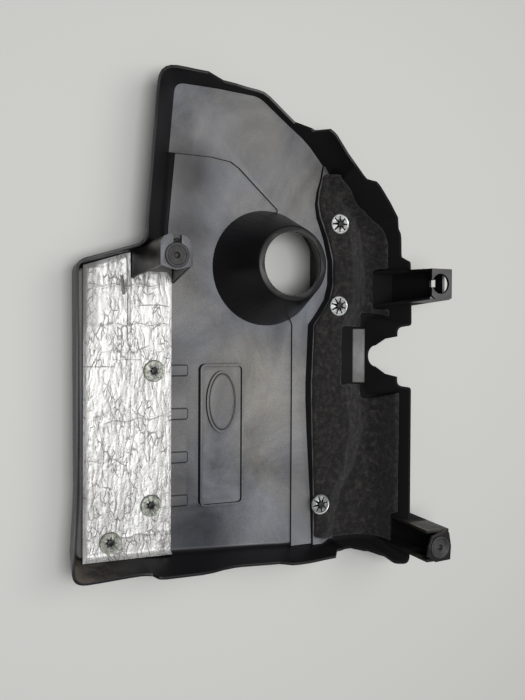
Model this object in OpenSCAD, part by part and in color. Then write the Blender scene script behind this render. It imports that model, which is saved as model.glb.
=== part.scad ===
// Engine cover, lying on its outer face with its underside up.
// X runs across the cover, Y along it, and +Z points out of the underside towards the engine.

/* [Overall] */
// Length of the moulded tray, over the rim
cover_l = 504; // [460:1:560]
// Width of the moulded tray, over the rim
cover_w = 364; // [330:1:400]

/* [Shell] */
// Thickness of the moulded wall
wall = 2.5; // [2:0.1:3.5]
// Inside radius where the walls leave the floor
foot_radius = 5; // [3:0.5:7]
// Height of the surrounding panel over the main panel
panel_step = 3; // [1.5:0.25:5]
// Height of the rim along the right-hand side
rim_right = 55; // [45:1:65]
// Height of the rim along the bottom
rim_bottom = 50; // [44:1:60]
// Height of the rim along the left-hand side
rim_left = 42; // [34:1:50]
// Height of the rim along the top left
rim_top = 42; // [34:1:50]
// Height of the low stretch of rim beside the top corner
rim_low = 16; // [12:1:24]
// Depth of the dips in the rim that clear hoses
rim_dip = 9; // [4:1:14]
// Outward lean of the right-hand wall
lean_side = 10.8; // [4:0.2:14]
// Outward lean of the sloping upper left wall
lean_slope = 35; // [25:1:38]

/* [Filler opening] */
// Bore of the filler opening
filler_d = 63; // [55:1:70]
// Width of the lip around the bore
lip_w = 7; // [5:0.5:10]
// Height of the lip over the outer face
filler_h = 67; // [55:1:75]
// Diameter of the collar at its foot
collar_d = 122; // [112:1:130]
// Place of the opening across the cover
filler_x = 24.5; // [15:0.5:35]
// Place of the opening along the cover
filler_y = 65.5; // [55:0.5:75]

/* [Ridge] */
// Height of the ridge under the felt, over the outer face
ridge_h = 17.5; // [14:0.5:22]
// Height of the chamfer at the foot of the inset wall
bay_ramp_h = 5.5; // [3:0.5:8]

/* [Side notch] */
// Width of the notch at its round bottom
notch_d = 23; // [18:1:28]
// Height of the lowest point of the notch
notch_z = 10.5; // [6:0.5:14]
// Width of the notch at the rim
notch_mouth = 46; // [36:1:50]
// Place of the notch along the cover
notch_y = -27.5; // [-32:0.5:-24]

/* [Badge seat] */
// Width of the raised seat
seat_w = 48; // [40:1:60]
// Length of the raised seat
seat_l = 146; // [120:1:170]
// Height of the seat's border over the main panel
seat_h = 7; // [4:0.5:9]
// Depth of the seat's flat below its border
seat_dish = 4; // [2:0.5:5]
// Width of the border
seat_border = 2.2; // [1.5:0.1:4]
// Length of the oval dome in the seat
oval_l = 64; // [50:1:80]
// Width of the oval dome in the seat
oval_w = 34; // [26:1:36]
// Length of each of the four flat tabs
tab_l = 34; // [20:1:40]
// Width of each flat tab
tab_w = 10.5; // [6:0.5:14]
// Height of the flat tabs over the main panel
tab_h = 1.4; // [0.8:0.1:3]
// Spacing of the flat tabs along the cover
tab_pitch = 44; // [36:0.5:48]

/* [Posts] */
// Height of the left mounting post
post_left_h = 89; // [80:1:96]
// Height of the two right-hand mounting posts
post_right_h = 101; // [92:1:108]
// Thickness of the post walls
post_wall = 2.6; // [2:0.1:3.5]
// Thickness of the plate on top of each post
post_plate = 3.2; // [2.5:0.1:5]
// Bore of the grommet seat in each plate
seat_bore = 20.8; // [18:0.2:22]

/* [Grommets] */
// Diameter of the grommet flange
flange_d = 23; // [22.2:0.2:26]
// Thickness of each flange
flange_t = 2; // [1.5:0.1:3]
// Diameter of the ball that the grommet holds
ball_d = 10; // [8:0.5:12]
// Bore of the grommet's mouth
mouth_d = 6; // [5:0.2:8]

/* [Fasteners] */
// Diameter of the moulded studs
stud_d = 6; // [5:0.1:8]
// Diameter of the push nuts
nut_d = 22; // [20:0.5:24]
// Thickness of the push nut sheet
nut_t = 0.8; // [0.5:0.1:1.2]
// Number of radial slots in a push nut
nut_slots = 8; // [5:1:10]

/* [Heat shield] */
// Thickness of the heat shield
shield_t = 2.2; // [1.4:0.2:4]
// Width of the heat shield
shield_w = 90; // [80:1:92]
// Height of the crinkles in the foil
crinkle = 0.7; // [0:0.1:1.2]

/* [Felt] */
// Thickness of the felt
felt_t = 5; // [3:0.5:7]
// Height to which the felt climbs the right-hand wall
felt_climb = 43; // [30:1:46]

/* [Hidden] */
gap = 0.3;
top_y = cover_l / 2 + 2;
bottom_y = -cover_l / 2 - 0.5;
left_x = -cover_w / 2 - 8;
right_x = cover_w / 2 - 8;
panel_z = wall;
surround_z = wall + panel_step;
lean_end = 3;
lean_wall = 9;
arc_angle = 16;
edge_step = 16;

// Points of the rim, anticlockwise from the bottom left corner:
// [x, y, height of the rim, outward lean of the wall, corner radius, lean after a sharp corner,
//  and, at the lug, how far the wall moves across for each mm that it comes down]
outline = [
    [left_x, bottom_y + 16.5, rim_left + 3, lean_wall, 14, 11],
    [left_x + 73, bottom_y + 18, rim_bottom - rim_dip, 11, 60],
    [left_x + 86, bottom_y + 15, rim_bottom + 1, 11, 40],
    [left_x + 124, bottom_y + 14.5, rim_bottom, 10, 200],
    [-22, bottom_y + 15, rim_bottom - rim_dip, lean_wall, 200],
    [20, bottom_y + 14, rim_bottom - rim_dip + 2, 8, 200],
    [43, bottom_y + 12.8, rim_bottom + 1, 6, 200],
    [84, bottom_y + 14.3, rim_bottom - 2, 5, 60],
    [100, bottom_y + 16, rim_bottom - 2.2 * rim_dip, 4, 60],
    [right_x - 60, bottom_y + 16.5, rim_bottom - 2.6 * rim_dip, 4, 60],
    [right_x - 46, bottom_y + 15.5, rim_bottom - rim_dip, 5, 30],
    [right_x - 33, bottom_y + 12.5, rim_right, 6, 30],
    [right_x - 20, bottom_y + 2.5, rim_right, lean_wall, 16, lean_wall, [-0.12, 0.27]],
    [right_x, bottom_y, rim_right, lean_side, 11, lean_side, [-tan(lean_side), 0.3]],
    [right_x, notch_y - 33.5, rim_right, lean_side, 4],
    [right_x - 18, notch_y - 31, rim_right, lean_side, 7],
    [right_x - 18, notch_y + 31, rim_right, lean_side, 7],
    [right_x, notch_y + 33.5, rim_right, lean_side, 4],
    [right_x, 72, rim_right - 2, lean_side, 20],
    [right_x - 3, 83, rim_right - 1.7 * rim_dip, lean_side, 20],
    [right_x - 3.5, 107, rim_right - 1.7 * rim_dip, lean_side, 16],
    [right_x - 16, 122.5, rim_right - 4, lean_side, 30],
    [right_x - 29, 137.5, rim_right, lean_side, 60],
    [right_x - 43, 154.5, rim_right + 1, lean_side, 30],
    [right_x - 54, 162.5, rim_right - rim_dip, lean_side, 30],
    [right_x - 74, 184.7, rim_right - rim_dip, lean_side, 60],
    [right_x - 94, 205.5, rim_right - 5, 8, 25],
    [right_x - 107, 211, rim_low + 12, 5, 25],
    [right_x - 123, 221, rim_low - 1, 5, 40],
    [16, top_y - 6.5, rim_low, 5, 25],
    [-32, top_y - 3.5, rim_low + 6, 4, 60],
    [-56, top_y - 2.5, rim_top - 3, lean_end, 40],
    [left_x + 83.5, top_y - 2, rim_top, lean_end, 20, lean_slope],
    [left_x + 77.5, 190, rim_top + 3, lean_slope - 1.5, 200],
    [left_x + 70.5, 104, rim_top + 3, lean_slope - 2.5, 100],
    [left_x + 70, 82, rim_top + 3, lean_slope - 2.5, 16, lean_end],
    [left_x + 5.7, 62.3, rim_left - 2, lean_end, 13, 6],
    [left_x + 6, -157, rim_left - 2, lean_wall - 1, 200],
];

n_out = len(outline);
function wrap(i) = (i + n_out) % n_out;
function unit(v) = v / norm(v);
function flat(v) = [v.x, v.y];
function lean_before(i) = outline[i][3];
function lean_after(i) = len(outline[i]) > 5 ? outline[i][5] : outline[i][3];
function turn_angle(i) = let(a = flat(outline[wrap(i - 1)]), b = flat(outline[i]), c = flat(outline[wrap(i + 1)]),
        u = unit(b - a), v = unit(c - b)) atan2(cross(u, v), u * v);

// Corner i of the outline moved inwards from the edge before it and the edge after it
function moved_corner(i, before, after) =
    let(a = flat(outline[wrap(i - 1)]), b = flat(outline[i]), c = flat(outline[wrap(i + 1)]),
        u = unit(b - a), v = unit(c - b), s = cross(u, v))
    abs(s) > 0.4 ? b + u * (before * (u * v) - after) / s + before * [-u.y, u.x]
        : let(n = unit([-u.y - v.y, u.x + v.x])) b + n * (before + after) / 2 / max(0.5, n * [-u.y, u.x]);

// Corners of a ring at one height, or at the rim where z is negative
function ring_corners(z, inset) = [for (i = [0:n_out - 1])
    let(drop = z < 0 ? 0 : max(0, outline[i][2] - z))
    len(outline[i]) > 6 ? moved_corner(i, inset, inset) + drop * outline[i][6]
        : moved_corner(i, inset + drop * tan(lean_before(i)), inset + drop * tan(lean_after(i)))];

function corner_points(i, c, inset) =
    let(a = c[wrap(i - 1)], b = c[i], d = c[wrap(i + 1)], turn = turn_angle(i), base = outline[i][4],
        r = turn > 0 ? max(1, base - inset) : base + inset,
        cut = min(r * tan(abs(turn) / 2), 0.45 * min(norm(b - a), norm(d - b))),
        steps = max(2, round(abs(turn) / arc_angle)), p = b + unit(a - b) * cut, q = b + unit(d - b) * cut)
    [for (k = [0:steps]) let(t = k / steps) (1 - t) * (1 - t) * p + 2 * t * (1 - t) * b + t * t * q];

function edge_count(i) = let(a = outline[i], b = outline[wrap(i + 1)])
    abs(a[2] - b[2]) < 1 ? 1 : max(1, round(norm(flat(b) - flat(a)) / edge_step));
function ease(t) = (1 - cos(180 * t)) / 2;

// One closed ring of the wall as 3D points
function ring(z, inset) =
    let(c = ring_corners(z, inset), pts = [for (i = [0:n_out - 1]) corner_points(i, c, inset)])
    [for (i = [0:n_out - 1]) let(m = edge_count(i), a = pts[i][len(pts[i]) - 1], b = pts[wrap(i + 1)][0],
            h = outline[i][2], g = outline[wrap(i + 1)][2])
        each concat([for (p = pts[i]) [p.x, p.y, z < 0 ? h : z]],
                    m < 2 ? [] : [for (k = [1:m - 1]) let(t = k / m, p = a + (b - a) * t)
                        [p.x, p.y, z < 0 ? h + (g - h) * ease(t) : z]])];

// Closed solid through a stack of rings with equal counts of points
module lofted(rings) {
    n = len(rings[0]);
    m = len(rings);
    polyhedron(
        points = [for (r = rings) each r],
        faces = concat(
            [[for (i = [0:n - 1]) i]],
            [for (k = [0:m - 2]) for (i = [0:n - 1])
                let(a = k * n + i, b = k * n + (i + 1) % n) each [[a, a + n, b + n], [a, b + n, b]]],
            [[for (i = [n - 1:-1:0]) (m - 1) * n + i]]));
}

// Rings that round the wall into the floor, from the flat floor outwards
function foot_rings(z0, r, inset) =
    [for (t = [0, 35, 62, 90]) ring(z0 + r * (1 - cos(t)), inset + r * (1 - sin(t)))];

// Closed band through rings that follow each other round its section
module band(rings) {
    n = len(rings[0]);
    m = len(rings);
    polyhedron(
        points = [for (r = rings) each r],
        faces = [for (k = [0:m - 1]) for (i = [0:n - 1])
            let(a = k * n + i, b = k * n + (i + 1) % n, c = ((k + 1) % m) * n + i, d = ((k + 1) % m) * n + (i + 1) % n)
                each [[a, c, d], [a, d, b]]]);
}

module tray() {
    r = foot_radius + wall * 0.6;
    outer = foot_rings(0, r, 0);
    inner = foot_rings(panel_z, foot_radius, wall);
    foot = r + 1.2;
    band(concat([ring(0, foot)], outer, [ring(-1, 0), ring(-1, wall)], [for (k = [3:-1:1]) inner[k]],
        [ring(panel_z - 0.4, foot)]));
    linear_extrude(panel_z) polygon([for (p = ring(0, r + 0.5)) flat(p)]);
}

// Solid between two rectangles [x0, y0, x1, y1], the lower at z0 and the upper at z1
module tapered_box(low, high, z0, z1) {
    lofted([for (s = [[low, z0], [high, z1]]) let(q = s[0], z = s[1])
        [[q[0], q[1], z], [q[2], q[1], z], [q[2], q[3], z], [q[0], q[3], z]]]);
}

// The ridge under the felt, along Y:
// [y, foot of its left side, right end of its crest, height of the crest, how far up the wall the felt goes]
foot_left = 71;
crest_right = 104;
felt_top_end = 168;
ridge_stations = [
    [bottom_y + 19, foot_left + 8, crest_right - 14, ridge_h - 8.5, felt_climb],
    [-177, foot_left + 6, crest_right - 9, ridge_h - 5.5, felt_climb],
    [-150, foot_left + 4, crest_right + 4, ridge_h - 3, felt_climb],
    [-108, foot_left + 1.5, crest_right + 12, ridge_h - 1, felt_climb],
    [-72, foot_left, crest_right + 6, ridge_h, felt_climb],
    [-56, foot_left, crest_right, ridge_h, felt_climb],
    [6, foot_left + 2.5, crest_right, ridge_h, felt_climb - 15],
    [20, foot_left + 13, crest_right + 6, ridge_h, felt_climb - 15],
    [34, foot_left + 22, crest_right + 12, ridge_h - 0.5, felt_climb - 16],
    [50, foot_left + 26, crest_right + 14, ridge_h - 1, felt_climb - 17],
    [76, foot_left + 26, crest_right + 14, ridge_h - 2, felt_climb - 18],
    [98, foot_left + 21, crest_right + 12, ridge_h - 3, felt_climb - 18],
    [112, foot_left + 16, crest_right + 11, ridge_h - 4, felt_climb - 16],
    [122, foot_left + 12, crest_right + 9, ridge_h - 4.5, felt_climb - 22],
    [136, foot_left + 10, crest_right + 4, ridge_h - 6, felt_climb - 34],
    [150, foot_left + 12, crest_right - 2, ridge_h - 7, felt_climb - 22],
    [163, foot_left + 16, crest_right - 9, ridge_h - 8, felt_climb - 26],
    [178, foot_left + 19, crest_right - 13, ridge_h - 9, 14],
];
slope_run = 1.9;

function ridge_section(s, drop) =
    let(z = s[3] - drop, foot = drop > 0 ? -1 : panel_z - 1)
    [[s[1] + drop, s[0], foot], [s[2] - drop * 0.3 + (z - foot) * slope_run, s[0], foot],
     [s[2] - drop * 0.3, s[0], z], [s[1] + drop + 0.8, s[0], z]];

module ridge(drop) {
    stations = drop > 0 ? [for (i = [0:len(ridge_stations) - 2]) ridge_stations[i]] : ridge_stations;
    shifted = [for (i = [0:len(stations) - 1]) let(s = stations[i])
        drop > 0 && i == 0 ? [s[0] + drop, s[1], s[2], s[3]] : s];
    lofted([for (i = [len(shifted) - 1:-1:0]) ridge_section(shifted[i], drop)]);
}

// Outline of the higher surround, beyond the crease and out past the walls
crease = [[left_x + 30, 177], [-39, 176.5], [-17, 173.5], [-8, 168], [filler_x + 12.5, filler_y + 62],
          [filler_x, filler_y], [55, filler_y - 59], [55, bottom_y - 5]];
function surround_outline(inset) = concat(
    [for (i = [0:5]) crease[i] + [inset * 0.4, inset]],
    [for (i = [6, 7]) crease[i] + [inset, 0]],
    [[foot_left + 11, bottom_y - 5]],
    [for (s = ridge_stations) [s[1] + 4, s[0]]],
    [[right_x - 40, top_y - 30], [40, top_y + 10], [left_x + 30, top_y + 10]]);

module surround_floor() {
    translate([0, 0, panel_z - 0.8]) linear_extrude(panel_step + 0.8) intersection() {
        polygon(surround_outline(0));
        polygon([for (p = ring(surround_z, wall + 0.3)) flat(p)]);
    }
}

module surround_hollow() {
    difference() {
        translate([0, 0, -1]) linear_extrude(panel_step + 1) polygon(surround_outline(wall));
        translate([filler_x, filler_y, -2]) cylinder(h = panel_step + 4, d = collar_d, $fn = 96);
    }
}

collar_top_d = filler_d + 2 * lip_w;
module collar_body() {
    translate([filler_x, filler_y, 0]) rotate_extrude($fn = 96) polygon([
        [0, 0], [collar_d / 2, 0], [collar_d / 2 - 1, panel_z + 3], [collar_top_d / 2, filler_h - 3],
        [collar_top_d / 2 - 1, filler_h - 0.8], [collar_top_d / 2 - 2.6, filler_h], [0, filler_h]]);
}

// The dish on the outer face, flat on the side that faces the ridge
module collar_hollow() {
    flat_x = collar_d / 2 - 6.5;
    intersection() {
        translate([filler_x, filler_y, 0]) rotate_extrude($fn = 96) polygon([
            [0, -1], [collar_d / 2 - wall, -1], [collar_d / 2 - wall - 0.7, panel_z + 2],
            [collar_top_d / 2 - wall, filler_h - wall - 1.5], [0, filler_h - wall - 1.5]]);
        translate([filler_x - collar_d, filler_y - collar_d, -2])
            cube([collar_d + flat_x, 2 * collar_d, filler_h + 2]);
    }
}

// Chamfer at the foot of the inset wall, between the ends of the notch bay
module bay_ramp() {
    x0 = crest_right + (ridge_h - panel_z) * slope_run - 1;
    x1 = right_x - 18 - wall - rim_right * tan(lean_side) + 1.5;
    translate([0, notch_y + 30.5, 0]) rotate([90, 0, 0]) linear_extrude(61)
        polygon([[x0, panel_z], [x0, 1], [x1 + 1, 1], [x1 + 1, panel_z + bay_ramp_h], [x1, panel_z + bay_ramp_h]]);
}

module side_notch() {
    r = notch_d / 2;
    translate([right_x - 50, notch_y, 0]) rotate([90, 0, 90]) linear_extrude(70) {
        translate([0, notch_z + r]) circle(r, $fn = 64);
        polygon([[-r, notch_z + r], [r, notch_z + r], [notch_mouth / 2 - 4, rim_right - 18],
                 [notch_mouth / 2, rim_right + 10], [-notch_mouth / 2, rim_right + 10],
                 [-notch_mouth / 2 + 4, rim_right - 18]]);
    }
}

seat_x = -27;
seat_y = -108;
oval_y = seat_y + seat_l / 2 - oval_l / 2 - 7;
module rounded_rect(w, l, r) {
    hull() for (x = [-1, 1], y = [-1, 1]) translate([x * (w / 2 - r), y * (l / 2 - r)]) circle(r, $fn = 32);
}
function oval_ring(l, w, z) = [for (a = [0:7.5:352.5]) [w / 2 * cos(a), l / 2 * sin(a), z]];

module seat_body() {
    translate([seat_x, seat_y, 1]) linear_extrude(panel_z + seat_h - 1) rounded_rect(seat_w, seat_l, 6);
}

// The recess inside the border, with the oval left standing in it
module seat_recess() {
    floor_z = panel_z + seat_h - seat_dish;
    difference() {
        translate([seat_x, seat_y, floor_z]) linear_extrude(seat_dish + 1)
            rounded_rect(seat_w - 2 * seat_border, seat_l - 2 * seat_border, 4);
        translate([seat_x, oval_y, floor_z - 1]) linear_extrude(seat_dish + 0.6)
            polygon([for (p = oval_ring(oval_l, oval_w, 0)) flat(p)]);
    }
}

// Groove that sets the oval's bead off from its dome
module oval_groove() {
    z = panel_z + seat_h - 1.8;
    translate([seat_x, oval_y, z]) difference() {
        linear_extrude(3) polygon([for (p = oval_ring(oval_l - 4, oval_w - 4, 0)) flat(p)]);
        lofted([for (s = [[-5.4, -1], [-5.6, 0.4], [-8, 0.9], [-14, 1.3], [-24, 1.5]])
            oval_ring(oval_l + s[0], oval_w + s[0], s[1])]);
    }
}

// Pocket under the badge seat, on the outer face
module seat_hollow() {
    translate([seat_x, seat_y, -1]) linear_extrude(panel_z + seat_h - seat_dish - wall + 1)
        rounded_rect(seat_w - 2 * wall, seat_l - 2 * wall, 3.5);
}

tab_end_x = seat_x - seat_w / 2 - 12;
tab_lead = 32.5;
module flat_tabs(room) {
    for (k = [0:3]) translate([tab_end_x - tab_l / 2, oval_y + tab_lead - k * tab_pitch, 1])
        linear_extrude(panel_z + tab_h - 1 + room) rounded_rect(tab_l + 2 * room, tab_w + 2 * room, 2 + room);
}

// Studs: [x, y, top of what lies under the push nut]
shield_top = panel_z + gap + shield_t;
shield_studs = [[left_x + 91, -41.5], [left_x + 88, -175.5], [left_x + 47, bottom_y + 43.5]];
felt_studs = [[104.5, 115], [101.5, 26.5], [83.5, -187]];
function crest_at(y) = lookup(y, [for (s = ridge_stations) [s[0], s[3]]]);
// Height of the felt's top where it is highest under a push nut
function nut_rest(y) = max([for (d = [-1, 0, 1]) crest_at(y + d * nut_d / 2)]) + gap + felt_t * 1.08;
stud_over = 2.2;

module studs() {
    for (p = shield_studs) translate([p.x, p.y, 1])
        cylinder(h = shield_top + nut_t + stud_over - 1, d = stud_d, $fn = 48);
    for (p = felt_studs) translate([p.x, p.y, crest_at(p.y) - 1])
        cylinder(h = nut_rest(p.y) - crest_at(p.y) + nut_t + stud_over + 1, d = stud_d, $fn = 48);
}

// Left post: a channel open towards -Y with a flared right-hand fin
left_post = [left_x + 85.5, 66];
left_cap = concat([[-15.5, 12], [-15.5, -9], [0, -13], [15, -9.5]],
    [for (a = [0:30:90]) [3 + 12 * cos(a), 7 + 12 * sin(a)]], [[-7, 19], [-12, 17]]);
left_foot = concat([[-18, 10.5], [-18, -15], [4, -19], [27, -20]],
    [for (a = [0:30:90]) [9 + 18 * cos(a), 7 + 12 * sin(a)]], [[-9, 14.2], [-15, 12]]);
left_open = -40;
function left_inner(x0, arc_x, arc_r, back) = concat([[x0, back], [x0, left_open], [arc_x + arc_r, left_open]],
    [for (a = [0:30:90]) [arc_x + arc_r * cos(a), 7 + (12 - post_wall) * sin(a)]], [[x0 + 6, back + 3.5]]);
module left_post_body() {
    top = post_left_h - post_plate;
    translate([left_post.x, left_post.y, 0]) lofted([for (s = [[left_foot, 1], [left_cap, top],
        [left_cap, post_left_h]]) [for (p = s[0]) [p.x, p.y, s[1]]]]);
}

module left_post_hollow() {
    w = post_wall;
    top = post_left_h - post_plate;
    translate([left_post.x, left_post.y, 0]) {
        lofted([[for (p = left_inner(w - 18, 9, 18 - w, 8)) [p.x, p.y, panel_z]],
                [for (p = left_inner(w - 15.5, 3, 12 - w, 10)) [p.x, p.y, top]]]);
        translate([0, 0, top - 1]) cylinder(h = post_plate + 2, d = seat_bore, $fn = 64);
        translate([-3.5, 0, top - 1]) cube([8, 30, post_plate + 2]);
    }
}

// Right-hand posts: channels open towards -X, standing across the side wall
mid_post = [right_x + 3.5, 48.5];
low_post = [right_x + 5, bottom_y + 28.5];
module side_post_body(p, low, high) {
    tapered_box([p.x + low[0], p.y + low[1], p.x + low[2], p.y + low[3]],
        [p.x + high[0], p.y + high[1], p.x + high[2], p.y + high[3]], 0, post_right_h - post_plate);
}

module side_post_hollow(p, low, high) {
    w = post_wall;
    tapered_box([p.x - 60, p.y + low[1] + w, p.x + low[2] - w, p.y + low[3] - w],
        [p.x - 60, p.y + high[1] + w, p.x + high[2] - w, p.y + high[3] - w], panel_z, post_right_h - post_plate);
}

mid_low = [-22.5, -22.5, 9, 18.5];
mid_high = [-11, -16, 14, 15.5];
low_low = [-15, -11.5, 10, 23.5];
low_high = [-14, -15, 13.5, 17.5];

module mid_post_body() {
    side_post_body(mid_post, mid_low, mid_high);
    translate([mid_post.x, mid_post.y, post_right_h - post_plate - 0.01]) linear_extrude(post_plate + 0.01)
        polygon([[-11, -12], [-6, -16], [14, -15], [14, 15.5], [-11, 15.5]]);
}

module mid_post_hollow() {
    top = post_right_h - post_plate;
    intersection() {
        side_post_hollow(mid_post, mid_low, mid_high);
        translate([mid_post.x + mid_low[0] - 1, mid_post.y - 30, 0]) cube([60, 60, top + 1]);
    }
    translate([mid_post.x, mid_post.y, top - 1]) cylinder(h = post_plate + 2, d = seat_bore, $fn = 64);
    translate([mid_post.x - 30, mid_post.y - 3.8, top - 1]) cube([30, 7.6, post_plate + 2]);
    translate([mid_post.x + 5, mid_post.y - 1.8, 68]) cube([20, 7.6, 9.5]);
    translate([mid_post.x + 10, mid_post.y + mid_high[1] + post_wall, top - 8.5])
        cube([20, mid_high[3] - mid_high[1] - 2 * post_wall, 8.5]);
}

module low_post_body() {
    side_post_body(low_post, low_low, low_high);
    translate([low_post.x, low_post.y, post_right_h - post_plate - 0.01]) linear_extrude(post_plate + 0.01)
        polygon([[-14, 2], [-14, -9], [-5, -15], [13.5, -14], [14.5, 0], [12, 14], [9, 17.5], [-9, 12]]);
}

module low_post_hollow() {
    intersection() {
        side_post_hollow(low_post, low_low, low_high);
        translate([low_post.x + low_low[0] - 1, low_post.y - 30, 0]) cube([60, 60, post_right_h]);
    }
    translate([low_post.x, low_post.y, post_right_h - post_plate - 1]) cylinder(h = post_plate + 2, d = seat_bore, $fn = 64);
}

module cover_shell() {
    color([0.09, 0.09, 0.1]) difference() {
        union() {
            difference() {
                union() {
                    tray();
                    surround_floor();
                    ridge(0);
                    collar_body();
                    seat_body();
                    bay_ramp();
                    mid_post_body();
                    low_post_body();
                }
                surround_hollow();
                ridge(wall);
                collar_hollow();
                seat_recess();
                seat_hollow();
                oval_groove();
                side_notch();
                mid_post_hollow();
                low_post_hollow();
            }
            difference() {
                left_post_body();
                left_post_hollow();
            }
            flat_tabs(0);
            studs();
        }
        translate([filler_x, filler_y, 0]) cylinder(h = filler_h + 1, d = filler_d, $fn = 96);
    }
}

// A sheet with a grid of points [x, y, z] for its top and for its underside
module sheet(top, under) {
    rows = len(top);
    cols = len(top[0]);
    n = rows * cols;
    rim = concat([for (i = [0:cols - 2]) i], [for (j = [0:rows - 2]) j * cols + cols - 1],
        [for (i = [cols - 1:-1:1]) (rows - 1) * cols + i], [for (j = [rows - 1:-1:1]) j * cols]);
    polyhedron(
        points = concat([for (r = top) each r], [for (r = under) each r]),
        faces = concat(
            [for (j = [0:rows - 2]) for (i = [0:cols - 2]) let(a = j * cols + i, d = a + cols)
                each [[a, d, d + 1], [a, d + 1, a + 1], [n + a, n + d + 1, n + d], [n + a, n + a + 1, n + d + 1]]],
            [for (k = [0:len(rim) - 1]) let(p = rim[k], q = rim[(k + 1) % len(rim)])
                each [[n + p, p, q], [n + p, q, n + q]]]));
}

// Crinkles of the foil: long wrinkles along Y crossed by a few folds
function crinkle_at(x, y) = crinkle * (0.5 + 0.25 * sin(37 * x + 60 * sin(2.1 * y)) +
    0.25 * sin(9 * y + 50 * sin(7 * x)));
shield_x0 = left_x + 19.2;
shield_low = bottom_y + 27;
shield_row = 8.6;
shield_curl = 6;
shield_top_left = [shield_x0, 60.5];
shield_top_slope = 0.32;
function shield_rise(x, y) = let(a = max(0, shield_curl - (x - shield_x0)),
        b = max(0, shield_curl - (y - shield_low)),
        c = max(0, shield_curl - (shield_top_left.y + (x - shield_x0) * shield_top_slope - y)))
    0.13 * max(a, b, min(c, shield_curl)) * max(a, b, min(c, shield_curl));

module heat_shield() {
    xs = [for (k = [0:14]) shield_x0 + (k < 4 ? k * 2 : 6 + (k - 3) * (shield_w - 6) / 11)];
    ys = [for (k = [0:38]) shield_low + (k < 4 ? k * 2 : 6 + (k - 3) * shield_row)];
    under = [for (y = ys) [for (x = xs) [x, y, panel_z + gap + shield_rise(x, y)]]];
    top = [for (r = under) [for (p = r) [p.x, p.y, p.z + shield_t - crinkle / 2 + crinkle_at(p.x, p.y)]]];
    x1 = shield_x0 + shield_w;
    color([0.8, 0.8, 0.79]) difference() {
        intersection() {
            sheet(top, under);
            linear_extrude(60) polygon([[shield_x0 - 1, shield_low - 3], [x1 - 4, shield_low - 3],
                [x1, shield_low + 4], [x1, 50], [x1 - 5, 57], [left_post.x - 14.5, 56], [left_post.x - 14.5, 49.5],
                [left_post.x - 19, 49.5], [left_post.x - 20, 72], shield_top_left + [46, 46 * shield_top_slope],
                shield_top_left, [shield_x0, 56]]);
        }
        for (p = shield_studs) translate([p.x, p.y, 0]) cylinder(h = 30, d = stud_d + 2, $fn = 48);
        flat_tabs(gap);
        translate([left_post.x - 27.5, 33, 0]) rotate([0, 0, 6]) cube([3.4, 20, 30]);
    }
}

// Inner foot of the wall that the felt runs up to: the right-hand wall, then the diagonal one
wall_foot_x = right_x - wall - rim_right * tan(lean_side);
diagonal = [right_x - 74, 184.7];
diagonal_run = 0.92;
function wall_x(y) = min(wall_foot_x,
    diagonal.x - (wall + (rim_right - rim_dip) * tan(lean_side)) * 1.36 - (y - diagonal.y) * diagonal_run);
function wall_slope(y) = tan(lean_side) * (wall_x(y) < wall_foot_x ? 1.36 : 1);

// Cross-section of the felt at one station: over the ridge, down to the floor, up the wall
function felt_points(s, lift) =
    let(base = panel_z + gap + lift, crest = s[3] + gap + lift, wx = wall_x(s[0]) - gap - lift,
        toe = wx - foot_radius * 1.15, full = s[2] + (s[3] - panel_z) * slope_run + lift * 0.2,
        foot = min(full, toe - 0.4), foot_z = max(base, crest - (foot - s[2] - lift * 0.3) / slope_run),
        top_z = max(s[4], foot_z + foot_radius * 1.2 + 3), knee_z = max(base, foot_z) + foot_radius * 1.2)
    [[s[1] + 1.2, s[0], crest], [(s[1] + s[2]) / 2, s[0], crest + lift * 0.08],
     [min(s[2], foot - 0.4) + (full > foot ? 0 : lift * 0.3), s[0], crest], [foot, s[0], foot_z],
     [(foot + toe) / 2, s[0], foot_z], [toe, s[0], foot_z],
     [wx + (knee_z - panel_z) * wall_slope(s[0]) - 0.6, s[0], knee_z],
     [wx + (top_z - panel_z) * wall_slope(s[0]) - 0.6, s[0], top_z]];

function mix(a, b, t) = [for (k = [0:len(a) - 1]) a[k] + (b[k] - a[k]) * t];
n_ridge = len(ridge_stations);
felt_stations = concat([for (i = [0:n_ridge - 2]) ridge_stations[i]],
    [let(a = ridge_stations[n_ridge - 2], b = ridge_stations[n_ridge - 1])
        mix(a, b, (felt_top_end - a[0]) / (b[0] - a[0]))]);

module felt_pad() {
    felt_outline = [[foot_left - 12, bottom_y + 32], [crest_right - 9, bottom_y + 26], [right_x - 40, bottom_y + 25.5],
        [right_x + 4, bottom_y + 21.5], [right_x + 4, 112], [right_x - 20, 122], [right_x - 29, 127.5],
        [right_x - 37, 132], [right_x - 44, 138], [right_x - 52, 147], [right_x - 58, 158], [108, 166],
        [102, 175], [foot_left - 12, 175]];
    color([0.22, 0.21, 0.2]) difference() {
        intersection() {
            sheet([for (s = felt_stations) felt_points(s, felt_t)], [for (s = felt_stations) felt_points(s, 0)]);
            linear_extrude(80) polygon(felt_outline);
        }
        translate([crest_right + 3, notch_y - 31, 0]) cube([100, 63, 80]);
        translate([mid_post.x + mid_low[0] - 2, mid_post.y + mid_low[1] - 2, 0])
            cube([60, mid_low[3] - mid_low[1] + 4, 80]);
        translate([low_post.x + low_low[0] - 2, low_post.y + low_low[1] - 20, 0])
            cube([60, low_low[3] - low_low[1] + 22, 80]);
        tapered_box([right_x - 36, notch_y - 49, right_x + 50, notch_y + 49],
            [right_x - 22, notch_y - 37.5, right_x + 50, notch_y + 37.5], 0, rim_right);
        for (p = felt_studs) translate([p.x, p.y, 0]) cylinder(h = 60, d = stud_d + 2, $fn = 48);
    }
}

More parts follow.
